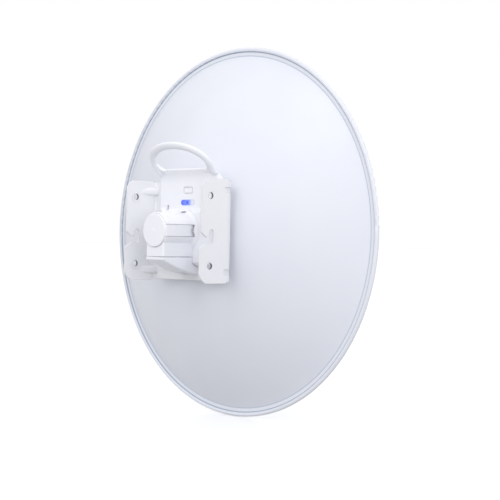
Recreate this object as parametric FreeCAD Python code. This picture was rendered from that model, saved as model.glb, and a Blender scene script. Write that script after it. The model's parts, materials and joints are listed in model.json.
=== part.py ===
import FreeCAD, Part
import math
import os

# Outdoor wireless bridge: a parabolic dish with a sheet-steel pole bracket, a plastic rear
# housing with a carrying handle, and a radio feed that plugs in through the dish.
# Millimetres.  Origin: midpoint of the four bolt holes in the bracket wings.
# +X across the bracket, +Y backwards (away from the beam), +Z up.

# ---- driving dimensions -------------------------------------------------------------
RIM_R = 210.0                # outer radius of the rolled rim
RIM_Y = -99.4                # plane of the rolled rim
BEAD_R = 2.5                 # rolled bead, half its thickness
FOCAL = 149.0                # focal length of the paraboloid
VERTEX_Y = -31.8             # rear surface of the paraboloid on its axis
SHEET = 1.2                  # dish sheet
BOWL_R = 200.0               # where the paraboloid meets the rim flange
SEAT_R = 44.0                # flat seat pressed round the central hole
SEAT_EDGE_R = 50.0
DISH_HOLE_R = 27.0

BASE_Y = -29.2               # rear face of the bracket's base, where the housing sits
STEEL = 2.0                  # bracket sheet
WING_X = 62.5                # outer faces of the bracket wings
WING_Z = 56.0
BASE_Z = 54.5
RELIEF_Y = -24.6             # bend relief steps
SPLIT_Y = -26.9              # where the wings are split from the base, just behind the bends
BEND_R = 2.0                 # inner bend radius
WING_TOP_Y = 12.5            # rear edge of the wings above the hook
WING_LOW_Y = 14.2            # and below it
WING_CORNER_R = 12.0
BOLT_Z = 37.3                # wing bolt holes, above and below the origin
BOLT_R = 3.5
PAD_R = 6.0                  # coined pad round each bolt hole
PAD_H = 0.4
HOOK_R = 3.5                 # round seat at the top of each hook slot
HOOK_Y = -1.9
HOOK_Z = -2.0
HOOK_FLOOR_Z = -13.7         # lower side of the hook slot
HOOK_TIP_Z = -6.4            # lower end of the tongue behind the hook seat
HOOK_TIP_R = 1.0
LIP_Y = 5.5                  # where the slot widens towards the wing's rear edge
LIP_TOP_Z = -1.6
LIP_LOW_Z = -18.4
EDGE_R = 2.0
WING_FOOT_R = 3.0
GUSSET_Z = 44.0
GUSSET_H = 9.0
GUSSET_BASE = 5.5            # reach of a gusset along the base
GUSSET_WING = 20.0           # reach of a gusset along the wing
GUSSET_WALL = 1.6
GUSSET_T = 4.7               # thickness left between a gusset's ridge and its hollow
GUSSET_EDGE_R = 3.6

SCREW_X = 32.0               # the four screws that hold dish, bracket and housing
SCREW_Z = 17.0
SCREW_R = 2.0
SCREW_HEAD_R = 3.8
SCREW_HEAD_H = 2.4
SCREW_TIP_Y = -22.4
SCREW_GAP = 0.2
SCREW_PLACES = [(x, z) for x in (-SCREW_X, SCREW_X) for z in (-SCREW_Z, SCREW_Z)]

FACE_Y = -18.9               # flat rear face of the housing round the barrel
SCOOP_Y = -23.8              # upright face behind the window, above the barrel
SCOOP_LOW_Z = 20.6
SCOOP_FOOT_Z = 24.0
HOUSING_X = 50.0             # half width of the housing at its foot
HOUSING_LOW_Z = -40.0
SHOULDER_X = 46.6            # rounded side shoulder of the housing
SHOULDER_Y = -24.4
FACE_X = 38.0                # half width of the flat rear face
CHIN_Y = -22.7               # slope under the rear face
CHIN_Z = -37.4
FACE_LOW_Z = -34.8
SCOOP_TOP_Z = 58.2           # where the scoop turns back towards the handle
TOP_FRONT_Z = 59.9           # top of the housing against the bracket
TOP_T = 3.0                  # thickness of the housing's top edge
HANDLE_ROOT_Y = -18.6        # top edge of the housing, where the handle plane starts
HANDLE_ROOT_Z = 67.2
HANDLE_TILT = 42.0           # handle plane, degrees back from upright
HANDLE_X = 44.3              # centre line of the handle's limbs
HANDLE_TOP = 33.6            # centre line of the handle's top, up its own plane
HANDLE_W = 9.0               # handle section, in its plane
HANDLE_T = 5.6               # handle section, across its plane
HANDLE_STRAIGHT = 8.0        # straight foot of each limb
HANDLE_SINK = 6.0            # how far the limbs run down into the housing
WEB_R = 7.0                  # rounded inner corner at the foot of each limb
WEB_T = 4.0
WEB_SINK = 4.0               # how far the corner piece runs down into the housing

KEEL_REAR_Z = -32.2          # lower edge of the port cover, rear end to front end
KEEL_MID_Y = -2.9
KEEL_MID_Z = -42.3
KEEL_FRONT_Z = -48.6
EXIT_X = 3.6                 # cable exit in the port cover, half its width
EXIT_FRONT_Y = -26.0
EXIT_REAR_Y = -16.0
TAB_REACH = 5.0              # snap tabs, below and above the seam

BARREL_R = 19.5
BARREL_Y = 23.0              # rear end of the barrel and neck
FLARE_R = 4.5                # hollow fillet between barrel and housing
BORE_R = 14.7
NECK_X = 14.2
SEAM_Z = -28.4               # where the port cover meets the neck
SEAM_GAP = 0.45
WALL = 2.0
CAVITY_Y = -21.4             # inner side of the housing's rear face
CAVITY_X = 38.0
CAVITY_LOW_Z = -32.0
CAVITY_TOP_Z = 19.5
SLOT_X = 33.0                # slots either side of the status window
SLOT_W = 3.4
SLOT_LOW_Z = 22.6
SLOT_TOP_Z = 28.6
SLIT_X = 4.5                 # slit above the barrel
SLIT_H = 1.3
SHAFT_TOP_Z = -12.0          # the neck's shaft opens into the bore here

CAP_R = 18.1                 # release button
CAP_Y = 24.9
CAP_T = 3.5
CAP_POCKET_Y = 17.2
BUTTON_TRAVEL = 4.0
ARM_X = 18.4                 # outer face of the button's side arms
ARM_T = 2.0
ARM_Z = 6.2
ARM_Y = -22.2
ARM_STEP_Y = -12.4           # thinner tongue of each arm, forwards of here
ARM_STEP = 1.1
STEM_R = 4.0
GAP = 0.3                    # clearance between bodies
TINY = 0.001                 # keeps two full rounds from using up a whole edge

LED_Z = 31.2                 # status window
LED_HALF = 11.5
LED_R = 3.15
GUIDE_X = 9.0                # light guide behind the window
GUIDE_Y = -28.0
GUIDE_T = 2.6
GUIDE_LOW_Z = 15.4
LABEL_Z = 44.75              # grooved outline of the plate above the status window
LABEL_X = 7.3
LABEL_HALF_Z = 3.75
LABEL_LINE = 0.8
LABEL_DEPTH = 1.3

TUBE_R = 26.0                # feed tube
TUBE_T = 2.2
TUBE_REAR_Y = -33.4
FLANGE_R = 31.0              # seating flange in front of the dish's hole
FLANGE_T = 3.0
HEAD_FOOT_Y = -141.0         # where tube and head meet
HEAD_R = 41.0
HEAD_T = 2.0
HEAD_REAR_Y = -166.0
HEAD_FRONT_Y = -182.8
SPLASH_R = 34.0              # sub-reflector
SPLASH_Y = -173.8
TAIL_R = 14.4
TAIL_T = 1.8
TAIL_Y = 12.5
WAVE_R = 22.0                # waveguide bore
WAVE_T = 1.4
WAVE_FRONT_Y = -150.0
WAVE_REAR_Y = -92.0
PROBE_R = 0.65
PROBE_L = 13.0
FLAT_PROBE_Y = -106.0
UPRIGHT_PROBE_Y = -122.0
COLLAR_R = 2.0
BOARD_T = 1.6
BOARD_X = 20.0
BOARD_FRONT_Y = -86.0
BOARD_REAR_Y = -34.0
BOARD_HOLES = [(x, y) for x in (-17.0, 17.0) for y in (-82.0, -38.0)]
CHIPS_FRONT_Y = -74.0        # from the front amplifiers to the processor's rear end
CHIPS_REAR_Y = -50.0
SCREW_HEAD_BOARD_R = 2.6
SCREW_BOARD_R = 1.5

JACK_X = 8.0                 # modular jack, mouth down
JACK_Y = 6.8
JACK_LOW_Z = -10.6
JACK_TOP_Z = 9.2
PORT_X = 5.95                # opening of the jack
PORT_Y = 3.6
PORT_DEEP_Z = 2.0
CONTACTS = 8
CONTACT_PITCH = 1.02
CONTACT_PLACES = [(i - (CONTACTS - 1) / 2) * CONTACT_PITCH for i in range(CONTACTS)]
TAIL_BOARD_Z = JACK_TOP_Z + 0.02
TAIL_BOARD_TOP_Z = TAIL_BOARD_Z + 1.2
RESET_Y = -13.0
RESET_R = 1.4
RESET_TRAVEL = 0.4
RESET_TOP_Z = JACK_TOP_Z - 1.0
JACK_T = 0.4
RING_Y = -21.5               # O-ring in the tail's groove
RING_T = 1.8
RING_R = 13.5


def vec(x, y, z):
    return FreeCAD.Vector(x, y, z)


def save(shape, name):
    if shape.ShapeType == "Compound" and len(shape.Solids) == 1:
        shape = shape.Solids[0]
    print(name, len(shape.Solids), "solids", round(shape.Volume, 1), "mm3", shape.isValid())
    shape.exportStep(os.path.join("parts", name + ".step"))


def box(x0, x1, y0, y1, z0, z1):
    return Part.makeBox(x1 - x0, y1 - y0, z1 - z0, vec(x0, y0, z0))


def cyl_x(r, x0, x1, y, z):
    return Part.makeCylinder(r, x1 - x0, vec(x0, y, z), vec(1, 0, 0))


def cyl_y(r, y0, y1, x=0.0, z=0.0):
    return Part.makeCylinder(r, y1 - y0, vec(x, y0, z), vec(0, 1, 0))


def cyl_z(r, z0, z1, x, y):
    return Part.makeCylinder(r, z1 - z0, vec(x, y, z0), vec(0, 0, 1))


def tube_y(r_out, r_in, y0, y1):
    return cyl_y(r_out, y0, y1).cut(cyl_y(r_in, y0, y1))


def rounded(corners, place):
    """Closed face through corners (a, b, radius); place turns (a, b) into a point."""
    edges = []
    joints = []
    count = len(corners)
    for i in range(count):
        a, b, radius = corners[i]
        pa, pb = corners[i - 1][:2]
        na, nb = corners[(i + 1) % count][:2]
        back = vec(pa - a, pb - b, 0).normalize()
        ahead = vec(na - a, nb - b, 0).normalize()
        corner = vec(a, b, 0)
        if radius <= 0:
            joints.append((corner, None, corner))
            continue
        half = back.getAngle(ahead) / 2
        reach = radius / math.tan(half)
        middle = (back + ahead).normalize()
        bow = corner + middle * (radius / math.sin(half) - radius)
        joints.append((corner + back * reach, bow, corner + ahead * reach))
    for i in range(count):
        start, bow, end = joints[i]
        if bow is not None:
            pts = [place(p.x, p.y) for p in (start, bow, end)]
            edges.append(Part.Arc(*pts).toShape())
        nxt = joints[(i + 1) % count][0]
        if (nxt - end).Length > 0.001:
            edges.append(Part.LineSegment(place(end.x, end.y), place(nxt.x, nxt.y)).toShape())
    return Part.Face(Part.Wire(edges))


def prism_x(corners, x0, x1):
    """Outline in Y and Z, drawn out from x0 to x1."""
    return rounded(corners, lambda y, z: vec(x0, y, z)).extrude(vec(x1 - x0, 0, 0))


def prism_y(corners, y0, y1):
    """Outline in X and Z, drawn out from y0 to y1."""
    return rounded(corners, lambda x, z: vec(x, y0, z)).extrude(vec(0, y1 - y0, 0))


def prism_z(corners, z0, z1):
    """Outline in X and Y, drawn out from z0 to z1."""
    return rounded(corners, lambda x, y: vec(x, y, z0)).extrude(vec(0, 0, z1 - z0))


def turned(corners):
    """Outline in radius and Y, turned round the dish axis."""
    face = rounded(corners, lambda r, y: vec(r, y, 0))
    return face.revolve(vec(0, 0, 0), vec(0, 1, 0), 360)


def mirror_x(shape):
    return shape.mirror(vec(0, 0, 0), vec(1, 0, 0))


def both_sides(shape):
    return [shape, mirror_x(shape)]


# ---- dish and bracket ---------------------------------------------------------------
def bowl_y(r):
    return VERTEX_Y - r * r / (4 * FOCAL)


def bowl_curve(r0, r1, drop):
    count = 9
    radii = [r0 + (r1 - r0) * i / (count - 1) for i in range(count)]
    curve = Part.BSplineCurve()
    curve.interpolate([vec(r, bowl_y(r) - drop, 0) for r in radii])
    return curve.toShape()


def line(p, q):
    return Part.LineSegment(vec(p[0], p[1], 0), vec(q[0], q[1], 0)).toShape()


def dish_reflector():
    seat = BASE_Y - STEEL
    flange = bowl_y(BOWL_R)
    bead_in = RIM_R - 2 * BEAD_R
    rear = [(DISH_HOLE_R, seat), (SEAT_R, seat), (SEAT_EDGE_R, bowl_y(SEAT_EDGE_R))]
    lip = bead_in + BEAD_R / 2
    front = [(r, y - SHEET) for r, y in rear]
    edges = [line(rear[0], rear[1]), line(rear[1], rear[2])]
    edges.append(bowl_curve(SEAT_EDGE_R, BOWL_R, 0.0))
    edges.append(line((BOWL_R, flange), (lip, flange)))
    edges.append(line((lip, flange), (lip, flange - SHEET)))
    edges.append(line((lip, flange - SHEET), (BOWL_R, flange - SHEET)))
    edges.append(bowl_curve(BOWL_R, SEAT_EDGE_R, SHEET))
    edges.append(line(front[2], front[1]))
    edges.append(line(front[1], front[0]))
    edges.append(line(front[0], rear[0]))
    face = Part.Face(Part.Wire(edges))
    sheet = face.revolve(vec(0, 0, 0), vec(0, 1, 0), 360)
    bead = Part.makeTorus(RIM_R - BEAD_R, BEAD_R, vec(0, RIM_Y, 0), vec(0, 1, 0))
    dish = sheet.fuse(bead)
    for x, z in SCREW_PLACES:
        dish = dish.cut(cyl_y(SCREW_R + SCREW_GAP, seat - 2 * STEEL, BASE_Y, x, z))
    return dish.removeSplitter()


def wing_outline():
    """Side view of a wing, with the hook slot in its rear edge."""
    front = BASE_Y - STEEL
    slot_front = HOOK_Y - HOOK_R
    slot_rear = HOOK_Y + HOOK_R
    return [
        (front, -WING_Z, WING_FOOT_R),
        (WING_LOW_Y, -WING_Z, WING_CORNER_R),
        (WING_LOW_Y, LIP_LOW_Z, EDGE_R),
        (LIP_Y, HOOK_FLOOR_Z, HOOK_TIP_R),
        (slot_front, HOOK_FLOOR_Z, EDGE_R),
        (slot_front, HOOK_Z + HOOK_R, HOOK_R - TINY),
        (slot_rear, HOOK_Z + HOOK_R, HOOK_R - TINY),
        (slot_rear, HOOK_TIP_Z, HOOK_TIP_R),
        (LIP_Y, HOOK_TIP_Z - HOOK_TIP_R / 2, HOOK_TIP_R),
        (WING_TOP_Y, LIP_TOP_Z, EDGE_R),
        (WING_TOP_Y, WING_Z, WING_CORNER_R),
        (front, WING_Z, WING_FOOT_R),
    ]


def bend_gusset():
    """Pressed gusset across a bend: a wedge inside and its hollow outside."""
    inner_x = WING_X - STEEL
    root = STEEL / 4
    low = GUSSET_Z - GUSSET_H / 2
    high = GUSSET_Z + GUSSET_H / 2
    wedge = prism_z([
        (inner_x + root, BASE_Y - root, 0),
        (inner_x + root, BASE_Y + GUSSET_WING, 0),
        (inner_x, BASE_Y + GUSSET_WING, 0),
        (inner_x - GUSSET_BASE, BASE_Y, 0),
        (inner_x - GUSSET_BASE, BASE_Y - root, 0),
    ], low, high)
    edges = [e for e in wedge.Edges if on_slope(e)]
    wedge = wedge.makeFillet(GUSSET_EDGE_R, edges)
    slope = math.hypot(GUSSET_BASE, GUSSET_WING)
    off_x = GUSSET_T * GUSSET_WING / slope
    off_y = GUSSET_T * GUSSET_BASE / slope
    past = 1 / 8
    hollow = prism_z([
        (inner_x + off_x + GUSSET_BASE * past, BASE_Y + GUSSET_WING * (1 + past) - off_y, 0),
        (inner_x - GUSSET_BASE * (1 + past) + off_x, BASE_Y - off_y - GUSSET_WING * past, 0),
        (WING_X + STEEL, BASE_Y - 2 * STEEL, 0),
    ], low + GUSSET_WALL, high - GUSSET_WALL)
    return wedge, hollow


def on_slope(edge):
    """Long sloping edges of the gusset wedge."""
    a, b = [v.Point for v in (edge.Vertexes[0], edge.Vertexes[-1])]
    return abs(a.x - b.x) > GUSSET_BASE / 2 and abs(a.y - b.y) > GUSSET_WING / 2


def dish_bracket():
    front = BASE_Y - STEEL
    rear = WING_LOW_Y
    inner = WING_X - STEEL
    channel = prism_z([
        (-WING_X, rear, 0),
        (-WING_X, front, BEND_R + STEEL),
        (WING_X, front, BEND_R + STEEL),
        (WING_X, rear, 0),
        (inner, rear, 0),
        (inner, BASE_Y, BEND_R),
        (-inner, BASE_Y, BEND_R),
        (-inner, rear, 0),
    ], -WING_Z, WING_Z)
    bracket = channel.common(prism_x(wing_outline(), -WING_X - 1, WING_X + 1))
    for z in (BASE_Z, -WING_Z - 1):
        relief = box(-WING_X - 1, WING_X + 1, front - 1, RELIEF_Y, z, z + WING_Z + 1 - BASE_Z)
        bracket = bracket.cut(relief)
    wedge, hollow = bend_gusset()
    for side in (wedge, mirror_x(wedge)):
        bracket = bracket.fuse([side, side.mirror(vec(0, 0, 0), vec(0, 0, 1))])
    for side in (hollow, mirror_x(hollow)):
        bracket = bracket.cut([side, side.mirror(vec(0, 0, 0), vec(0, 0, 1))])
    for z in (BOLT_Z, -BOLT_Z):
        pad = cyl_x(PAD_R, inner - PAD_H, inner + 0.5, 0.0, z)
        bracket = bracket.fuse(both_sides(pad))
        bracket = bracket.cut(cyl_x(BOLT_R, -WING_X - 1, WING_X + 1, 0.0, z))
    bracket = bracket.cut(cyl_y(DISH_HOLE_R + 0.5, front - 1, BASE_Y + 1))
    for x, z in SCREW_PLACES:
        bracket = bracket.cut(cyl_y(SCREW_R + SCREW_GAP, front - 1, BASE_Y + 1, x, z))
    return bracket.removeSplitter()


def bracket_part(bracket, x0, x1, y0, y1):
    """The piece of the folded sheet between these limits."""
    return bracket.common(box(x0, x1, y0, y1, -WING_Z - 1, WING_Z + 1))


def mount_screws():
    """Four pan-head screws with cross slots, put in from the front of the dish."""
    foot_y = BASE_Y - STEEL - SHEET
    top_y = foot_y - SCREW_HEAD_H
    half_long = 2.2
    half_wide = 0.45
    screws = []
    for x, z in SCREW_PLACES:
        head = cyl_y(SCREW_HEAD_R, top_y, foot_y, x, z)
        rim = [e for e in head.Edges if e.Closed and abs(e.CenterOfMass.y - top_y) < TINY]
        head = head.makeFillet(SCREW_HEAD_H / 2, rim)
        for dx, dz in ((half_long, half_wide), (half_wide, half_long)):
            head = head.cut(box(x - dx, x + dx, top_y, top_y + SCREW_HEAD_H / 2, z - dz, z + dz))
        screws.append(head.fuse(cyl_y(SCREW_R, foot_y, SCREW_TIP_Y, x, z)))
    return Part.makeCompound(screws)


# ---- rear housing -------------------------------------------------------------------
def up_plane(s, n=0.0):
    """Y and Z of a point s up the handle plane and n behind it."""
    t = math.radians(HANDLE_TILT)
    y = HANDLE_ROOT_Y + s * math.sin(t) + n * math.cos(t)
    z = HANDLE_ROOT_Z + s * math.cos(t) - n * math.sin(t)
    return y, z


def housing_block():
    """The housing's outer form without barrel, neck and handle."""
    top_front = up_plane(0.0, -TOP_T)
    side = [
        (BASE_Y, HOUSING_LOW_Z, 1.0),
        (CHIN_Y, CHIN_Z, 2.0),
        (FACE_Y, FACE_LOW_Z, 1.5),
        (FACE_Y, SCOOP_LOW_Z, 2.5),
        (SCOOP_Y, SCOOP_FOOT_Z, 2.5),
        (SCOOP_Y, SCOOP_TOP_Z, 20.0),
        (HANDLE_ROOT_Y, HANDLE_ROOT_Z, 1.2),
        (top_front[0], top_front[1], 1.2),
        (BASE_Y, TOP_FRONT_Z, 12.0),
    ]
    plan = [
        (HOUSING_X, BASE_Y, 0),
        (SHOULDER_X, SHOULDER_Y, 6.0),
        (FACE_X, FACE_Y + 0.01, 12.0),
        (-FACE_X, FACE_Y + 0.01, 12.0),
        (-SHOULDER_X, SHOULDER_Y, 6.0),
        (-HOUSING_X, BASE_Y, 0),
    ]
    block = prism_x(side, -HOUSING_X, HOUSING_X)
    return block.common(prism_z(plan, HOUSING_LOW_Z - 1, HANDLE_ROOT_Z + 5))


def handle():
    """Carrying handle: an oval bar bent into an arch in the tilted plane."""
    y_low, z_low = up_plane(-HANDLE_SINK)
    y_mid, z_mid = up_plane(HANDLE_STRAIGHT)
    t = math.radians(HANDLE_TILT)
    up = vec(0, math.sin(t), math.cos(t))
    centre = vec(0, y_mid, z_mid)
    right = vec(HANDLE_X, 0, 0)
    top = up * (HANDLE_TOP - HANDLE_STRAIGHT)
    arch = Part.Ellipse(centre + right, centre + top, centre)
    arc = Part.ArcOfEllipse(arch, 0, math.pi)
    if arc.value(math.pi / 2).z < centre.z:
        arc = Part.ArcOfEllipse(arch, math.pi, 2 * math.pi)
    ends = (vec(HANDLE_X, y_low, z_low), vec(-HANDLE_X, y_low, z_low))
    path = Part.Wire([
        Part.LineSegment(ends[0], centre + right).toShape(),
        arc.toShape(),
        Part.LineSegment(centre - right, ends[1]).toShape(),
    ])
    across = vec(0, math.cos(t), -math.sin(t))
    oval = Part.Ellipse(ends[0] + vec(HANDLE_W / 2, 0, 0), ends[0] + across * (HANDLE_T / 2), ends[0])
    section = Part.Wire([oval.toShape()])
    return path.makePipeShell([section], True, False)


def handle_web():
    """Rounded inner corner between a limb of the handle and the housing's top edge."""
    limb = HANDLE_X - HANDLE_W / 2
    inside = limb + HANDLE_W / 6
    low = -WEB_SINK
    outline = [
        (inside, low, 0),
        (inside, WEB_R + 1, 0),
        (limb, WEB_R + 1, 0),
        (limb, 0.0, WEB_R),
        (limb - WEB_R - 1, 0.0, 0),
        (limb - WEB_R - 1, low, 0),
    ]
    behind = -0.6 * WEB_T
    face = rounded(outline, lambda x, s: vec(x, *up_plane(s, behind)))
    t = math.radians(HANDLE_TILT)
    return face.extrude(vec(0, math.cos(t), -math.sin(t)) * WEB_T)


def barrel():
    """Round barrel with a hollow fillet at its foot."""
    return turned([
        (0.0, CAVITY_Y, 0),
        (BARREL_R + FLARE_R, CAVITY_Y, 0),
        (BARREL_R + FLARE_R, FACE_Y + 0.3, 0),
        (BARREL_R, FACE_Y + 0.3, FLARE_R - 0.01),
        (BARREL_R, BARREL_Y, 1.2),
        (0.0, BARREL_Y, 0),
    ])


def neck():
    return prism_z([
        (-NECK_X, CAVITY_Y, 0),
        (-NECK_X, BARREL_Y, 1.5),
        (NECK_X, BARREL_Y, 1.5),
        (NECK_X, CAVITY_Y, 0),
    ], SEAM_Z, 0.0)


def stadium_y(half, r, y0, y1, z):
    """Rounded bar shape across X, drawn along Y."""
    edge = half - TINY
    corner = r - TINY
    return prism_y([
        (-edge, z - r, corner),
        (edge, z - r, corner),
        (edge, z + r, corner),
        (-edge, z + r, corner),
    ], y0, y1)


def label_line():
    """Groove that outlines the rounded plate above the status window."""
    rings = []
    for inset in (0.0, LABEL_LINE):
        half_x = LABEL_X - inset
        half_z = LABEL_HALF_Z - inset
        corner = 1.5 - inset
        rings.append(prism_y([
            (-half_x, LABEL_Z - half_z, corner),
            (half_x, LABEL_Z - half_z, corner),
            (half_x, LABEL_Z + half_z, corner),
            (-half_x, LABEL_Z + half_z, corner),
        ], SCOOP_Y - LABEL_DEPTH, FACE_Y))
    return rings[0].cut(rings[1])


def rear_housing(block):
    body = block.fuse([barrel(), neck(), handle()] + both_sides(handle_web()))
    body = body.cut(housing_hollow())
    behind = BARREL_Y
    for x, z in SCREW_PLACES:
        body = body.fuse(cyl_y(SCREW_R + WALL, BASE_Y, CAVITY_Y + 1, x, z))
        body = body.cut(cyl_y(SCREW_R, BASE_Y - 1, SCREW_TIP_Y + GAP, x, z))
    slot = box(SLOT_X - SLOT_W / 2, SLOT_X + SLOT_W / 2, BASE_Y - 1, behind, SLOT_LOW_Z, SLOT_TOP_Z)
    slit = box(-SLIT_X, SLIT_X, CAVITY_Y - 1, FACE_Y + FLARE_R, BARREL_R + GAP, BARREL_R + GAP + SLIT_H)
    window = stadium_y(LED_HALF, LED_R, BASE_Y - 1, FACE_Y, LED_Z)
    return body.cut(both_sides(slot) + [slit, window, label_line()]).removeSplitter()


def housing_hollow():
    """Everything that is cut out of the inside of the housing."""
    cavity = prism_y([
        (-CAVITY_X, CAVITY_LOW_Z, 6.0),
        (CAVITY_X, CAVITY_LOW_Z, 6.0),
        (CAVITY_X, CAVITY_TOP_Z, 6.0),
        (-CAVITY_X, CAVITY_TOP_Z, 6.0),
    ], BASE_Y - 1, CAVITY_Y)
    bore = cyl_y(BORE_R, BASE_Y - 1, CAP_POCKET_Y - WALL)
    pocket = cyl_y(CAP_R + GAP, CAP_POCKET_Y, BARREL_Y + 1)
    inner = NECK_X - WALL
    shaft = box(-inner, inner, CAVITY_Y - 1, BARREL_Y - WALL, SEAM_Z - 1, SHAFT_TOP_Z)
    shaft = shaft.cut(box(-inner, inner, CAP_POCKET_Y - WALL, BARREL_Y, -BARREL_R, 0.0))
    duct_x = GUIDE_X + GAP
    duct = box(-duct_x, duct_x, GUIDE_Y - GAP, GUIDE_Y + GUIDE_T + GAP, GUIDE_LOW_Z - 5, LED_Z - LED_R + GAP)
    groove_x = ARM_X - ARM_T - GAP
    groove_z = ARM_Z + GAP
    groove = box(groove_x, ARM_X + 1.1, ARM_Y - BUTTON_TRAVEL - 2, BARREL_Y + 1, -groove_z, groove_z)
    stem = cyl_y(STEM_R + GAP, CAP_POCKET_Y - WALL - 1, CAP_POCKET_Y + 1)
    return cavity.fuse([bore, pocket, shaft, duct, stem] + both_sides(groove))


def led_window(block):
    gap = 0.12
    bar = stadium_y(LED_HALF - gap, LED_R - gap, BASE_Y + 0.8, FACE_Y, LED_Z)
    return bar.common(block)


def light_guide():
    return box(-GUIDE_X, GUIDE_X, GUIDE_Y, GUIDE_Y + GUIDE_T, GUIDE_LOW_Z, LED_Z - LED_R)


# ---- release button -----------------------------------------------------------------
def release_button():
    under = CAP_Y - CAP_T
    cap = turned([
        (0.0, under, 0),
        (CAP_R, under, 0),
        (CAP_R, CAP_Y, 1.0),
        (0.0, CAP_Y + 0.25, 0),
    ])
    cap = cap.cut(tube_y(CAP_R - 4.5, STEM_R + 2.5, under - 1, CAP_Y - 1.6))
    stem = cyl_y(STEM_R, CAP_POCKET_Y - WALL - 0.4 + BUTTON_TRAVEL, under + 0.5)
    inner = ARM_X - ARM_T
    shoulder = CAP_Y - 1.2
    arm = prism_z([
        (inner, ARM_Y, 0.3),
        (ARM_X - ARM_STEP, ARM_Y, 0.3),
        (ARM_X - ARM_STEP, ARM_STEP_Y, 0),
        (ARM_X, ARM_STEP_Y, 0),
        (ARM_X, BARREL_Y - 1.0, 0.6),
        (ARM_X - 0.8, shoulder, 0),
        (inner - 1.0, shoulder, 0),
        (inner - 1.0, under, 0),
        (inner, under, 0),
    ], -ARM_Z, ARM_Z)
    return cap.fuse([stem] + both_sides(arm)).removeSplitter()


def button_spring():
    wire = 0.45
    coil_r = 5.3
    turns = 3.0
    rest = 0.05
    height = CAP_Y - CAP_T - CAP_POCKET_Y - 2 * (wire + rest)
    helix = Part.makeLongHelix(height / turns, height, coil_r)
    rise = height / turns / (2 * math.pi * coil_r)
    section = Part.Wire([Part.Circle(vec(coil_r, 0, 0), vec(0, 1, rise), wire).toShape()])
    coil = Part.Wire(helix.Edges).makePipeShell([section], True, True)
    coil.rotate(vec(0, 0, 0), vec(1, 0, 0), -90)
    coil.translate(vec(0, CAP_POCKET_Y + wire + rest, 0))
    return coil


def latch_clip():
    """Spring-steel clip, open below, that holds the feed's tail in the housing."""
    r_in = TAIL_R + 0.35
    thick = 1.2
    ring = tube_y(r_in + thick, r_in, CAVITY_Y - 2.2, CAVITY_Y - 0.02)
    mouth = box(-CAP_R, CAP_R, CAVITY_Y - CAP_T, CAVITY_Y, -CAP_R, -TAIL_R / 2)
    return ring.cut(mouth)


# ---- port cover ---------------------------------------------------------------------
def keel(side_x, inset):
    """Boat-shaped cover under the neck, drawn inwards by inset."""
    rear = BARREL_Y - 0.1 - inset
    front = BASE_Y + GAP + inset
    step = FACE_Y + GAP + inset
    top = SEAM_Z - SEAM_GAP
    clear = 0.5
    start = vec(-side_x, rear, KEEL_REAR_Z - 0.4 * inset)
    middle = vec(-side_x, KEEL_MID_Y, KEEL_MID_Z + inset)
    end = vec(-side_x, front, KEEL_FRONT_Z + inset)
    points = [
        end,
        vec(-side_x, front, HOUSING_LOW_Z - clear),
        vec(-side_x, CHIN_Y + GAP + inset, CHIN_Z - clear),
        vec(-side_x, step, FACE_LOW_Z - clear),
        vec(-side_x, step, top),
        vec(-side_x, rear, top),
        start,
    ]
    edges = [Part.LineSegment(p, q).toShape() for p, q in zip(points, points[1:])]
    edges.append(Part.Arc(start, middle, end).toShape())
    return Part.Face(Part.Wire(edges)).extrude(vec(2 * side_x, 0, 0))


def is_keel_tip(edge):
    """Cross edge at the rear lower end of the port cover."""
    middle = edge.CenterOfMass
    return abs(middle.z - KEEL_REAR_Z) < 0.1 and abs(middle.y - BARREL_Y) < 0.5


def port_cover():
    body = keel(NECK_X, 0.0)
    low = [e for e in body.Edges if e.Curve.TypeId == "Part::GeomCircle" or is_keel_tip(e)]
    body = body.makeFillet(1.8, low)
    inner = NECK_X - WALL
    mouth_y = FACE_Y + GAP + WALL
    mouth = box(-inner, inner, mouth_y, BARREL_Y - WALL, SEAM_Z - 2 * WALL, SEAM_Z)
    body = body.cut([keel(inner, WALL), mouth])
    exit_slot = prism_z([
        (-EXIT_X, EXIT_FRONT_Y, EXIT_X - 0.1),
        (EXIT_X, EXIT_FRONT_Y, EXIT_X - 0.1),
        (EXIT_X, EXIT_REAR_Y, EXIT_X - 0.1),
        (-EXIT_X, EXIT_REAR_Y, EXIT_X - 0.1),
    ], KEEL_FRONT_Z - 1, KEEL_MID_Z)
    body = body.cut(exit_slot)
    tab_front = -4.0
    tab_rear = 6.0
    tab_x = inner - 1.5
    low = SEAM_Z - TAB_REACH
    tab = box(tab_x, inner - GAP, tab_front, tab_rear, low, SEAM_Z + TAB_REACH)
    root = box(tab_x, inner + 0.5, tab_front, tab_rear, low, SEAM_Z - 1.5)
    return body.fuse(both_sides(tab) + both_sides(root)).removeSplitter()


# ---- feed ---------------------------------------------------------------------------
def feed_tube():
    """Front tube with the seating flange."""
    inner = TUBE_R - TUBE_T
    flange_front = TUBE_REAR_Y - FLANGE_T
    return turned([
        (inner, TUBE_REAR_Y, 0),
        (FLANGE_R, TUBE_REAR_Y, 0.6),
        (FLANGE_R, flange_front, 0.8),
        (TUBE_R, flange_front, 1.5),
        (TUBE_R, HEAD_FOOT_Y, 0),
        (inner, HEAD_FOOT_Y, 0),
    ])


def feed_head():
    """Flared rear half of the head, on the end of the tube."""
    inner = TUBE_R - TUBE_T
    return turned([
        (inner, HEAD_FOOT_Y, 0),
        (TUBE_R, HEAD_FOOT_Y, 0),
        (TUBE_R, HEAD_FOOT_Y - 7.0, 14.0),
        (HEAD_R, HEAD_REAR_Y + 4.0, 2.5),
        (HEAD_R, HEAD_REAR_Y, 0),
        (HEAD_R - HEAD_T, HEAD_REAR_Y, 0),
        (HEAD_R - HEAD_T, HEAD_REAR_Y + 2.8, 1.5),
        (inner, HEAD_FOOT_Y - 9.0, 10.0),
    ])


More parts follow.
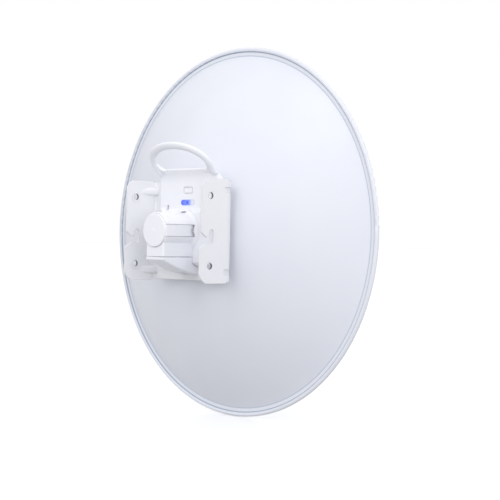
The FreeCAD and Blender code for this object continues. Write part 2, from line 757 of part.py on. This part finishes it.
def feed_cap():
    """Domed front half of the head, with a lip inside the rear half."""
    front = HEAD_FRONT_Y
    seam = HEAD_REAR_Y - 0.2
    lip_y = HEAD_REAR_Y + 1.6
    lip_r = HEAD_R - HEAD_T - 0.1
    inner = lip_r - 1.5
    return turned([
        (0.0, front, 0),
        (HEAD_R - 8.0, front + 1.2, 12.0),
        (HEAD_R, front + 9.0, 6.0),
        (HEAD_R, seam, 0),
        (lip_r, seam, 0),
        (lip_r, lip_y, 0),
        (inner, lip_y, 0),
        (inner, front + 9.6, 4.0),
        (HEAD_R - 9.0, front + 3.3, 8.0),
        (0.0, front + 2.2, 0),
    ])


def splash_plate():
    """Sub-reflector: a turned aluminium disc with a low cone towards the waveguide."""
    return turned([
        (0.0, SPLASH_Y - 2.2, 0),
        (SPLASH_R, SPLASH_Y - 2.2, 0),
        (SPLASH_R, SPLASH_Y, 0),
        (12.0, SPLASH_Y + 0.8, 6.0),
        (0.0, SPLASH_Y + 9.8, 0),
    ])


def dielectric_cone():
    """Clear plug in the waveguide's mouth that flares out to the sub-reflector."""
    rest = 0.05
    plug_r = WAVE_R - rest
    return turned([
        (0.0, WAVE_FRONT_Y + 12.0, 0),
        (8.0, WAVE_FRONT_Y + 4.0, 2.0),
        (plug_r, WAVE_FRONT_Y + 9.0, 0),
        (plug_r, WAVE_FRONT_Y - 1.0, 1.0),
        (SPLASH_R - 1.0, WAVE_FRONT_Y - 18.0, 3.0),
        (SPLASH_R, SPLASH_Y + rest, 0),
        (12.0, SPLASH_Y + 0.8 + rest, 6.0),
        (0.0, SPLASH_Y + 9.8 + 2 * rest, 0),
    ])


def waveguide():
    outer = WAVE_R + WAVE_T
    shell = tube_y(outer, WAVE_R, WAVE_FRONT_Y, WAVE_REAR_Y)
    shell = shell.fuse(cyl_y(outer, WAVE_REAR_Y - 2.0, WAVE_REAR_Y))
    return shell.cut(antenna_pins(COLLAR_R + 0.05)).removeSplitter()


def from_wall(radius, length):
    """Two crossed rods that start at the waveguide's outer wall and point inwards."""
    outer = WAVE_R + WAVE_T
    flat = Part.makeCylinder(radius, length, vec(-outer, FLAT_PROBE_Y, 0), vec(1, 0, 0))
    upright = Part.makeCylinder(radius, length, vec(0, UPRIGHT_PROBE_Y, outer), vec(0, 0, -1))
    return [flat, upright]


def antenna_pins(radius):
    return from_wall(radius, PROBE_L)


def probe_collars():
    """Insulating collar round each antenna pin, in the waveguide's wall."""
    length = WAVE_T + 0.6
    rods = from_wall(COLLAR_R, length)
    bores = from_wall(PROBE_R + 0.03, length)
    return Part.makeCompound([rod.cut(bore) for rod, bore in zip(rods, bores)])


def radio_board():
    board = box(-BOARD_X, BOARD_X, BOARD_FRONT_Y, BOARD_REAR_Y, 0.0, BOARD_T)
    return board.cut([cyl_z(SCREW_BOARD_R + 0.1, -1.0, BOARD_T + 1.0, x, y) for x, y in BOARD_HOLES])


def board_screws():
    screws = []
    for x, y in BOARD_HOLES:
        head = cyl_z(SCREW_HEAD_BOARD_R, BOARD_T, BOARD_T + 1.6, x, y)
        screws.append(head.fuse(cyl_z(SCREW_BOARD_R, -4.5, BOARD_T, x, y)))
    return Part.makeCompound(screws)


def heat_spreader():
    """Finned aluminium plate under the radio board, which it carries on four posts."""
    half = BOARD_X - 1.0
    front = BOARD_FRONT_Y + 1.0
    rear = BOARD_REAR_Y - 1.0
    plate_low = -7.5
    plate_top = -5.0
    fins = 6
    pitch = 5.0
    fin_t = 1.6
    fin_low = -14.0
    plate = box(-half, half, front, rear, plate_low, plate_top)
    pad_x = 11.0
    post_r = 2.6
    parts = [box(-pad_x, pad_x, CHIPS_FRONT_Y, CHIPS_REAR_Y + 2.0, plate_top, -0.05)]
    for x, y in BOARD_HOLES:
        parts.append(cyl_z(post_r, plate_top - 0.5, -0.02, x, y))
    for i in range(fins):
        x = (i - (fins - 1) / 2) * pitch
        parts.append(box(x - fin_t / 2, x + fin_t / 2, front, rear, fin_low, plate_low + 0.5))
    body = plate.fuse(parts)
    return body.cut([cyl_z(SCREW_BOARD_R + 0.05, -4.6, 0.0, x, y) for x, y in BOARD_HOLES]).removeSplitter()


def rf_shield():
    """Tin-plate can over the radio, with rows of vent holes in its lid."""
    half = 13.0
    front = -78.0
    rear = -44.0
    tall = 5.0
    plate = 0.4
    top = BOARD_T + tall
    inner = box(plate - half, half - plate, front + plate, rear - plate, BOARD_T, top - plate)
    can = box(-half, half, front, rear, BOARD_T, top).cut(inner)
    pitch_x = 4.8
    pitch_y = 5.0
    holes = []
    for i in range(-2, 3):
        for j in range(6):
            holes.append(cyl_z(0.8, top - 1, top + 1, pitch_x * i, front + 4.5 + pitch_y * j))
    return can.cut(holes)


def radio_chips():
    top = BOARD_T
    small = 6.0
    large = 14.0
    amplifier = box(3.0, 3.0 + small, CHIPS_FRONT_Y, CHIPS_FRONT_Y + small, top, top + 1.2)
    processor = box(-large / 2, large / 2, CHIPS_REAR_Y - large, CHIPS_REAR_Y, top, top + 1.6)
    return Part.makeCompound([processor] + both_sides(amplifier))


def feed_tail():
    """Rear plug of the feed: a bulkhead and the narrow tube that enters the barrel."""
    bulkhead = cyl_y(TUBE_R - 0.2, TUBE_REAR_Y + 0.02, BASE_Y - 0.6)
    bore = TUBE_R - TUBE_T - 0.05
    spigot = tube_y(bore, bore - WALL, TUBE_REAR_Y - 6.0, TUBE_REAR_Y + 0.1)
    tube = cyl_y(TAIL_R, BASE_Y - 1.0, TAIL_Y)
    end = [e for e in tube.Edges if e.Closed and abs(e.CenterOfMass.y - TAIL_Y) < TINY]
    tube = tube.makeFillet(1.0, end)
    body = bulkhead.fuse([spigot, tube])
    jack_x = JACK_X + GAP
    jack_y = JACK_Y + GAP
    low = -TAIL_R - 1
    led_window_x = 7.0
    cuts = [
        cyl_y(TAIL_R - TAIL_T, TUBE_REAR_Y - 1, TAIL_Y - TAIL_T),
        box(-jack_x, jack_x, -jack_y, jack_y, low, 0.0),
        cyl_z(RESET_R + GAP, low, 0.0, 0.0, RESET_Y),
        box(-led_window_x, led_window_x, GUIDE_Y, GUIDE_Y + GUIDE_T, 0.0, TAIL_R + 1),
        tube_y(TAIL_R + 1, RING_R, RING_Y - 0.1, RING_Y + RING_T + 0.1),
    ]
    return body.cut(cuts)


def tail_o_ring():
    return tube_y(TAIL_R + 0.15, RING_R + 0.02, RING_Y, RING_Y + RING_T)


def collar_gasket():
    return tube_y(FLANGE_R - 0.2, DISH_HOLE_R + GAP, TUBE_REAR_Y, TUBE_REAR_Y + 0.9)


def tail_board():
    return box(-6.2, 6.2, GUIDE_Y - 0.1, 10.0, TAIL_BOARD_Z, TAIL_BOARD_TOP_Z)


def status_leds():
    half = 0.8
    middle = GUIDE_Y + GUIDE_T / 2
    top = TAIL_BOARD_TOP_Z
    places = [(i - 1.5) * 3.0 for i in range(4)]
    leds = [box(x - half, x + half, middle - half, middle + half, top, top + 0.7) for x in places]
    return Part.makeCompound(leds)


def ethernet_jack():
    """Shielded shell of the jack, open downwards."""
    shell = box(-JACK_X, JACK_X, -JACK_Y, JACK_Y, JACK_LOW_Z, JACK_TOP_Z)
    x = JACK_X - JACK_T
    y = JACK_Y - JACK_T
    return shell.cut(box(-x, x, -y, y, JACK_LOW_Z - 1, JACK_TOP_Z - JACK_T))


def jack_insert():
    """Moulded body with the plug opening, its latch notch and the contact slots."""
    skin = JACK_T + 0.02
    x = JACK_X - skin
    y = JACK_Y - skin
    low = JACK_LOW_Z - 1
    latch_x = 3.2
    slot_x = 0.26
    body = box(-x, x, -y, y, JACK_LOW_Z + 0.3, JACK_TOP_Z - skin)
    cuts = [
        box(-PORT_X, PORT_X, -PORT_Y, PORT_Y, low, PORT_DEEP_Z),
        box(-latch_x, latch_x, PORT_Y - 0.1, PORT_Y + 1.6, low, PORT_DEEP_Z),
    ]
    for at in CONTACT_PLACES:
        cuts.append(box(at - slot_x, at + slot_x, -PORT_Y - 1.6, 0.1 - PORT_Y, -8.0, 4.0))
    return body.cut(cuts)


def jack_contacts():
    """Eight bent wires, each with a free end that slopes into the plug opening."""
    back = -PORT_Y - 1.5
    front = -PORT_Y - 1.1
    half = 0.2
    outline = [
        (back, 3.8, 0),
        (back, -7.8, 0),
        (front, -7.8, 0),
        (1.2 - PORT_Y, 0.6, 0),
        (0.8 - PORT_Y, 0.9, 0),
        (front, -6.0, 0),
        (front, 3.8, 0),
    ]
    return Part.makeCompound([prism_x(outline, at - half, at + half) for at in CONTACT_PLACES])


def reset_switch():
    half = 3.0
    body = box(-half, half, RESET_Y - half, RESET_Y + half, JACK_TOP_Z - 3.6, JACK_TOP_Z)
    return body.cut(cyl_z(RESET_R + 0.1, JACK_TOP_Z - 4.0, RESET_TOP_Z, 0.0, RESET_Y))


def reset_button():
    stem = cyl_z(RESET_R, 0.2 - TAIL_R, RESET_TOP_Z - RESET_TRAVEL - 0.05, 0.0, RESET_Y)
    foot = cyl_z(RESET_R + 1.0, -2.0, 2.0, 0.0, RESET_Y)
    return stem.fuse(foot)


def build():
    os.makedirs("parts", exist_ok=True)
    block = housing_block()
    bracket = dish_bracket()
    side = WING_X + 1
    front = BASE_Y - STEEL - 1
    pieces = {
        "dish_reflector": dish_reflector(),
        "bracket_base": bracket_part(bracket, -side, side, front, SPLIT_Y),
        "left_wing": bracket_part(bracket, 0.0, side, SPLIT_Y, WING_LOW_Y + 1),
        "right_wing": bracket_part(bracket, -side, 0.0, SPLIT_Y, WING_LOW_Y + 1),
        "mount_screws": mount_screws(),
        "rear_housing": rear_housing(block),
        "led_window": led_window(block),
        "light_guide": light_guide(),
        "latch_clip": latch_clip(),
        "release_button": release_button(),
        "button_spring": button_spring(),
        "port_cover": port_cover(),
        "feed_tube": feed_tube(),
        "feed_head": feed_head(),
        "feed_cap": feed_cap(),
        "splash_plate": splash_plate(),
        "dielectric_cone": dielectric_cone(),
        "waveguide": waveguide(),
        "antenna_pins": Part.makeCompound(antenna_pins(PROBE_R)),
        "probe_collars": probe_collars(),
        "radio_board": radio_board(),
        "board_screws": board_screws(),
        "heat_spreader": heat_spreader(),
        "rf_shield": rf_shield(),
        "radio_chips": radio_chips(),
        "feed_tail": feed_tail(),
        "tail_o_ring": tail_o_ring(),
        "collar_gasket": collar_gasket(),
        "tail_board": tail_board(),
        "status_leds": status_leds(),
        "ethernet_jack": ethernet_jack(),
        "jack_insert": jack_insert(),
        "jack_contacts": jack_contacts(),
        "reset_switch": reset_switch(),
        "reset_button": reset_button(),
    }
    for name, shape in pieces.items():
        save(shape, name)


build()
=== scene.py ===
import json
import math

import bpy
from mathutils import Matrix, Vector


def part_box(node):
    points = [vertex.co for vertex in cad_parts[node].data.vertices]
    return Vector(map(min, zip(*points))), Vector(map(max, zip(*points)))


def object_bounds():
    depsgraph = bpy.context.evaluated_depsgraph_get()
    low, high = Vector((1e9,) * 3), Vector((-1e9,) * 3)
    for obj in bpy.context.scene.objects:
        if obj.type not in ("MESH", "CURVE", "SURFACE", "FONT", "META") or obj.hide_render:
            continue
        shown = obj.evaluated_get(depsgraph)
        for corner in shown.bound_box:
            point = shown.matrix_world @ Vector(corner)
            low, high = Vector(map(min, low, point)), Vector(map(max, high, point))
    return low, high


# Outdoor wireless bridge, standing on the lower edge of its dish and seen from behind.
# Metres, in the row frame: +X across the bracket, +Y backwards, +Z up.

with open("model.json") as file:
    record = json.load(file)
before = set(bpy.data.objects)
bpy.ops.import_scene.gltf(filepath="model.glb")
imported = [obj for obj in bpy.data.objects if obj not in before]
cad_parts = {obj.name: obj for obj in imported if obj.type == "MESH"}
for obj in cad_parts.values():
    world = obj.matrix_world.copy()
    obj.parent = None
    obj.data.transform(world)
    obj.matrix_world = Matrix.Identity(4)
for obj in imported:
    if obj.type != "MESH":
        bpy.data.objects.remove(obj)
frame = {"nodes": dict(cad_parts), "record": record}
NODES = frame["nodes"]
cad_lo, cad_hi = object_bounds()

# ---- camera ---------------------------------------------------------------------------
CAMERA_LOOK = Vector((-0.0257, -0.0960, -0.0201))
CAMERA_AZIMUTH = 225.26
CAMERA_ELEVATION = 0.42
CAMERA_ROLL = 1.06
CAMERA_DISTANCE = 1.4745
CAMERA_LENS = 94.15
CAMERA_SENSOR = 36.0

# ---- lights ---------------------------------------------------------------------------
SKY_TOP = (0.97, 0.98, 1.0, 1.0)
SKY_LOW = (0.40, 0.405, 0.42, 1.0)
SKY_SPAN = (-0.7, 0.5)               # height on the dome where the low and top colours start
BACKDROP = (1.0, 1.0, 1.0, 1.0)
KEY_PLACE = (-0.2, 1.9, 1.7)
KEY_SIZE = 1.6
KEY_POWER = 11.0
SIDE_PLACE = (-2.0, 1.1, 0.4)
SIDE_SIZE = 1.2
SIDE_POWER = 12.0
SIDE_COLOR = (0.97, 0.98, 1.0)
AIM = (0.0, 0.0, 0.0)
FLOOR_SIZE = 60.0
FLOOR_GLOW = 0.18

# ---- painted shade in the bolt holes and in the dish's rim creases --------------------
BOLT_Z = 0.0373
BOLT_R = 0.0035
BEAD_SHADE_R = 0.2049
FLANGE_SHADE_R = 0.2003
SHADE_LINE_HALF = 0.0009

# ---- status window: the glow covers its +X two thirds, measured from its middle ----------
GLOW_END = -0.0040
GLOW_FADE = 0.0022
GLOW_DOT = 0.0011

# ---- surface grain, as noise scale and bump depth, and the width of softened edges ---------
PLASTIC_GRAIN = 2600.0
CHIP_GRAIN = 1500.0
FINE_DEPTH = 0.00002
COAT_DEPTH = 0.00003
STEEL_EDGE = 0.0011
HOUSING_EDGE = 0.0008
SMALL_EDGE = 0.0005


def srgb(text):
    """Linear colour from a six-digit hex string."""
    values = [int(text[i:i + 2], 16) / 255 for i in (0, 2, 4)]
    linear = [v / 12.92 if v <= 0.04045 else ((v + 0.055) / 1.055) ** 2.4 for v in values]
    return tuple(linear) + (1.0,)


def make_camera():
    data = bpy.data.cameras.new("camera")
    data.lens = CAMERA_LENS
    data.sensor_width = CAMERA_SENSOR
    data.clip_start = 0.05
    data.clip_end = 50.0
    cam = bpy.data.objects.new("camera", data)
    bpy.context.scene.collection.objects.link(cam)
    a = math.radians(CAMERA_AZIMUTH)
    e = math.radians(CAMERA_ELEVATION)
    back = Vector((math.sin(a) * math.cos(e), -math.cos(a) * math.cos(e), math.sin(e)))
    turn = (-back).to_track_quat("-Z", "Y").to_matrix().to_4x4()
    roll = Matrix.Rotation(math.radians(CAMERA_ROLL), 4, "Z")
    cam.matrix_world = Matrix.Translation(CAMERA_LOOK + back * CAMERA_DISTANCE) @ turn @ roll
    bpy.context.scene.camera = cam


def area_light(name, place, aim, size, power, color=(1.0, 1.0, 1.0)):
    data = bpy.data.lights.new(name, "AREA")
    data.shape = "DISK"
    data.size = size
    data.energy = power
    data.color = color
    lamp = bpy.data.objects.new(name, data)
    bpy.context.scene.collection.objects.link(lamp)
    lamp.location = place
    lamp.rotation_mode = "QUATERNION"
    lamp.rotation_quaternion = (Vector(aim) - Vector(place)).to_track_quat("-Z", "Y")


def make_world():
    """White backdrop, and a dome that lights from above more than from below."""
    world = bpy.data.worlds.new("studio")
    bpy.context.scene.world = world
    world.use_nodes = True
    tree = world.node_tree
    back = tree.nodes["Background"]
    coords = tree.nodes.new("ShaderNodeTexCoord")
    split = tree.nodes.new("ShaderNodeSeparateXYZ")
    ramp = tree.nodes.new("ShaderNodeValToRGB")
    span = tree.nodes.new("ShaderNodeMapRange")
    span.inputs["From Min"].default_value = SKY_SPAN[0]
    span.inputs["From Max"].default_value = SKY_SPAN[1]
    ramp.color_ramp.elements[0].color = SKY_LOW
    ramp.color_ramp.elements[1].color = SKY_TOP
    tree.links.new(coords.outputs["Generated"], split.inputs["Vector"])
    tree.links.new(split.outputs["Z"], span.inputs["Value"])
    tree.links.new(span.outputs["Result"], ramp.inputs["Fac"])
    tree.links.new(ramp.outputs["Color"], back.inputs["Color"])
    plain = tree.nodes.new("ShaderNodeBackground")
    plain.inputs["Color"].default_value = BACKDROP
    seen = tree.nodes.new("ShaderNodeLightPath")
    choose = tree.nodes.new("ShaderNodeMixShader")
    tree.links.new(seen.outputs["Is Camera Ray"], choose.inputs["Fac"])
    tree.links.new(back.outputs["Background"], choose.inputs[1])
    tree.links.new(plain.outputs["Background"], choose.inputs[2])
    tree.links.new(choose.outputs["Shader"], tree.nodes["World Output"].inputs["Surface"])


def make_lights():
    bpy.context.scene.view_settings.view_transform = "Standard"
    make_world()
    area_light("key", KEY_PLACE, AIM, KEY_SIZE, KEY_POWER)
    area_light("side", SIDE_PLACE, AIM, SIDE_SIZE, SIDE_POWER, SIDE_COLOR)


# ---- materials ------------------------------------------------------------------------
class Shader:
    """A node material with a Principled shader and helpers to build what feeds it."""

    def __init__(self, name):
        self.mat = bpy.data.materials.new(name)
        self.mat.use_nodes = True
        self.tree = self.mat.node_tree
        self.bsdf = self.tree.nodes["Principled BSDF"]
        self.coords = self.node("ShaderNodeTexCoord").outputs["Object"]
        self.color = None

    def node(self, kind, **settings):
        made = self.tree.nodes.new(kind)
        for key, value in settings.items():
            setattr(made, key, value)
        return made

    def link(self, source, target):
        self.tree.links.new(source, target)

    def set(self, **values):
        for key, value in values.items():
            self.bsdf.inputs[key.replace("_", " ")].default_value = value

    def noise(self, scale, detail=3.0, rough=0.5):
        tex = self.node("ShaderNodeTexNoise")
        tex.inputs["Scale"].default_value = scale
        tex.inputs["Detail"].default_value = detail
        tex.inputs["Roughness"].default_value = rough
        self.link(self.coords, tex.inputs["Vector"])
        return tex.outputs["Fac"]

    def spread(self, factor, low, high, start=0.3, end=0.7):
        """factor between start and end mapped to low and high."""
        span = self.node("ShaderNodeMapRange")
        limits = {"From Min": start, "From Max": end, "To Min": low, "To Max": high}
        for key, value in limits.items():
            span.inputs[key].default_value = value
        self.link(factor, span.inputs["Value"])
        return span.outputs["Result"]

    def mix(self, factor, first, second):
        blend = self.node("ShaderNodeMix", data_type="RGBA")
        self.link(factor, blend.inputs["Factor"])
        for socket, value in (("A", first), ("B", second)):
            target = [s for s in blend.inputs if s.name == socket and s.type == "RGBA"][0]
            if isinstance(value, tuple):
                target.default_value = value
            else:
                self.link(value, target)
        return [s for s in blend.outputs if s.type == "RGBA"][0]

    def bump(self, height, strength, distance, normal=None):
        bump = self.node("ShaderNodeBump")
        bump.inputs["Strength"].default_value = strength
        bump.inputs["Distance"].default_value = distance
        self.link(height, bump.inputs["Height"])
        if normal is not None:
            self.link(normal, bump.inputs["Normal"])
        return bump.outputs["Normal"]


def coated(name, color, shade, rough, grain, grain_depth, edge=0.0):
    """Painted or moulded surface: faint colour drift, uneven gloss, a fine grain, soft edges."""
    s = Shader(name)
    drift = s.noise(9.0, 2.0)
    s.color = s.mix(s.spread(drift, 0.0, 1.0), color, shade)
    s.link(s.color, s.bsdf.inputs["Base Color"])
    s.link(s.spread(s.noise(60.0, 4.0), rough - 0.04, rough + 0.05), s.bsdf.inputs["Roughness"])
    normal = None
    if edge > 0.0:
        round_edge = s.node("ShaderNodeBevel", samples=6)
        round_edge.inputs["Radius"].default_value = edge
        normal = round_edge.outputs["Normal"]
    fine = s.bump(s.noise(grain, 2.0), 0.35, grain_depth, normal)
    s.link(s.bump(s.noise(grain * 0.12, 1.0), 0.2, grain_depth * 3, fine), s.bsdf.inputs["Normal"])
    return s


def from_axis(s, keep, middle=(0.0, 0.0, 0.0)):
    """Distance from an axis through middle; keep is 1 along the two directions across it."""
    shifted = s.node("ShaderNodeVectorMath", operation="SUBTRACT")
    s.link(s.coords, shifted.inputs[0])
    shifted.inputs[1].default_value = middle
    flat = s.node("ShaderNodeVectorMath", operation="MULTIPLY")
    s.link(shifted.outputs["Vector"], flat.inputs[0])
    flat.inputs[1].default_value = keep
    length = s.node("ShaderNodeVectorMath", operation="LENGTH")
    s.link(flat.outputs["Vector"], length.inputs[0])
    return length.outputs["Value"]


def dish_paint():
    """White paint, with painted shade: thin darker rings in the crease beside the rolled rim and
    at the flange.
    """
    s = coated("dish_paint", srgb("E9EBF2"), srgb("E4E6EE"), 0.40, 1500.0, FINE_DEPTH)
    radius = from_axis(s, (1.0, 0.0, 1.0))
    color = s.color
    # Painted shade: thin blue-grey rings where shadow falls, in the crease inside the rolled bead
    # and at the flange bend.
    for line, shade in ((BEAD_SHADE_R, srgb("A9B4C4")), (FLANGE_SHADE_R, srgb("C3CCDA"))):
        off = s.node("ShaderNodeMath", operation="SUBTRACT")
        s.link(radius, off.inputs[0])
        off.inputs[1].default_value = line
        size = s.node("ShaderNodeMath", operation="ABSOLUTE")
        s.link(off.outputs["Value"], size.inputs[0])
        shade_mask = s.spread(size.outputs["Value"], 1.0, 0.0, SHADE_LINE_HALF / 3, SHADE_LINE_HALF)
        color = s.mix(shade_mask, color, shade)
    s.link(color, s.bsdf.inputs["Base Color"])
    return s.mat


def bracket_paint():
    """Powder coat with soft edges, and painted shade on the walls of the bolt holes."""
    s = coated(
        "bracket_paint", srgb("F2F2F4"), srgb("EEEFF2"), 0.36, 1800.0, COAT_DEPTH, STEEL_EDGE)
    color = s.color
    # Painted shade: dark grey on the walls of the bolt holes, standing in for the shadow inside
    # them.
    for z in (BOLT_Z, -BOLT_Z):
        radius = from_axis(s, (0.0, 1.0, 1.0), (0.0, 0.0, z))
        shade_mask = s.spread(radius, 1.0, 0.0, BOLT_R + 0.00005, BOLT_R + 0.0002)
        color = s.mix(shade_mask, color, srgb("6E6F73"))
    s.link(color, s.bsdf.inputs["Base Color"])
    return s.mat


def darker(color, share):
    return tuple(c * share for c in color[:3]) + (1.0,)


def metal(name, color, rough, grain):
    s = Shader(name)
    s.set(Metallic=1.0)
    s.link(s.mix(s.noise(40.0), color, darker(color, 0.86)), s.bsdf.inputs["Base Color"])
    s.link(s.spread(s.noise(grain), rough - 0.06, rough + 0.08), s.bsdf.inputs["Roughness"])
    s.link(s.bump(s.noise(grain * 3, 1.0), 0.2, 0.00003), s.bsdf.inputs["Normal"])
    return s.mat


def clear(name, color, rough, transmission):
    s = Shader(name)
    s.set(Transmission_Weight=transmission, IOR=1.49)
    s.link(s.mix(s.noise(30.0), color, darker(color, 0.97)), s.bsdf.inputs["Base Color"])
    s.link(s.spread(s.noise(300.0), rough, rough + 0.06), s.bsdf.inputs["Roughness"])
    return s.mat


def status_window():
    """Frosted clear bar with a blue glow behind its +X part and a darker dot in the glow."""
    s = Shader("window_clear")
    lo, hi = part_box("led_window")
    middle = (lo + hi) / 2
    s.set(Roughness=0.22, IOR=1.49, Transmission_Weight=0.15, Emission_Strength=1.0)
    place = s.node("ShaderNodeSeparateXYZ")
    s.link(s.coords, place.inputs["Vector"])
    end = middle.x + GLOW_END
    across = s.spread(place.outputs["X"], 0.0, 1.0, end - GLOW_FADE, end + GLOW_FADE)
    along = s.spread(place.outputs["X"], 0.0, 1.0, middle.x, hi.x)
    blue = s.mix(along, srgb("7C92F6"), srgb("5367E6"))
    dot = s.node("ShaderNodeVectorMath", operation="DISTANCE")
    s.link(s.coords, dot.inputs[0])
    dot.inputs[1].default_value = (middle.x + GLOW_DOT, hi.y, middle.z)
    near = s.spread(dot.outputs["Value"], 1.0, 0.0, GLOW_DOT * 0.8, GLOW_DOT * 1.8)
    glow = s.mix(near, blue, srgb("3346C8"))
    s.link(s.mix(across, (0.0, 0.0, 0.0, 1.0), glow), s.bsdf.inputs["Emission Color"])
    s.link(s.mix(across, srgb("F4F6FC"), (0.02, 0.03, 0.12, 1.0)), s.bsdf.inputs["Base Color"])
    s.link(s.bump(s.noise(900.0), 0.15, 0.00002), s.bsdf.inputs["Normal"])
    return s.mat


def plastic(name, rough, edge):
    """White moulded plastic."""
    return coated(name, srgb("F8F8FC"), srgb("F3F4FA"), rough, PLASTIC_GRAIN, FINE_DEPTH, edge).mat


def make_materials():
    cream = (srgb("EFEFEA"), srgb("E8E8E2"))
    board = ((0.02, 0.16, 0.07, 1.0), (0.03, 0.2, 0.09, 1.0))
    black = ((0.02, 0.02, 0.022, 1.0), (0.03, 0.03, 0.03, 1.0))
    dark = ((0.05, 0.05, 0.055, 1.0), (0.06, 0.06, 0.06, 1.0))
    rubber = ((0.015, 0.015, 0.015, 1.0), (0.022, 0.022, 0.022, 1.0))
    return {
        "dish_paint": dish_paint(),
        "bracket_paint": bracket_paint(),
        "housing_plastic": plastic("housing_plastic", 0.40, HOUSING_EDGE),
        "button_plastic": plastic("button_plastic", 0.38, SMALL_EDGE),
        "feed_plastic": plastic("feed_plastic", 0.42, SMALL_EDGE),
        "window_clear": status_window(),
        "acrylic": clear("acrylic", (0.95, 0.97, 1.0, 1.0), 0.08, 0.8),
        "led_lens": clear("led_lens", (0.9, 0.93, 1.0, 1.0), 0.1, 0.5),
        "dielectric": clear("dielectric", (0.93, 0.92, 0.88, 1.0), 0.2, 0.4),
        "insulator": coated("insulator", *cream, 0.4, 900.0, FINE_DEPTH).mat,
        "steel": metal("steel", (0.62, 0.62, 0.62, 1.0), 0.3, 200.0),
        "spring_steel": metal("spring_steel", (0.5, 0.5, 0.51, 1.0), 0.28, 300.0),
        "tin_plate": metal("tin_plate", (0.68, 0.68, 0.69, 1.0), 0.32, 200.0),
        "aluminium": metal("aluminium", (0.77, 0.77, 0.78, 1.0), 0.36, 250.0),
        "brass": metal("brass", (0.72, 0.56, 0.27, 1.0), 0.3, 300.0),
        "gold_contacts": metal("gold_contacts", (0.83, 0.66, 0.30, 1.0), 0.22, 300.0),
        "circuit_board": coated("circuit_board", *board, 0.35, 700.0, COAT_DEPTH).mat,
        "chip_black": coated("chip_black", *black, 0.5, CHIP_GRAIN, COAT_DEPTH).mat,
        "dark_plastic": coated("dark_plastic", *dark, 0.45, CHIP_GRAIN, COAT_DEPTH).mat,
        "rubber_black": coated("rubber_black", *rubber, 0.7, 900.0, 0.00004).mat,
    }


def dress_nodes(materials):
    for part in frame["record"]["subparts"]:
        mesh = NODES[part["node"]].data
        mesh.materials.clear()
        mesh.materials.append(materials[part["material_slot"]])


# ---- floor ----------------------------------------------------------------------------
def make_floor():
    mesh = bpy.data.meshes.new("floor")
    half = FLOOR_SIZE / 2
    z = cad_lo.z
    corners = [(-half, -half, z), (half, -half, z), (half, half, z), (-half, half, z)]
    mesh.from_pydata(corners, [], [(0, 1, 2, 3)])
    floor = bpy.data.objects.new("floor", mesh)
    bpy.context.scene.collection.objects.link(floor)
    white = Shader("floor_white")
    white.set(Roughness=0.2, Specular_IOR_Level=0.2)
    white.set(Emission_Color=BACKDROP, Emission_Strength=FLOOR_GLOW)
    color = white.mix(white.noise(3.0), srgb("FFFFFF"), srgb("FBFBFC"))
    white.link(color, white.bsdf.inputs["Base Color"])
    mesh.materials.append(white.mat)
    floor.visible_diffuse = False


make_camera()
make_lights()
make_floor()
dress_nodes(make_materials())
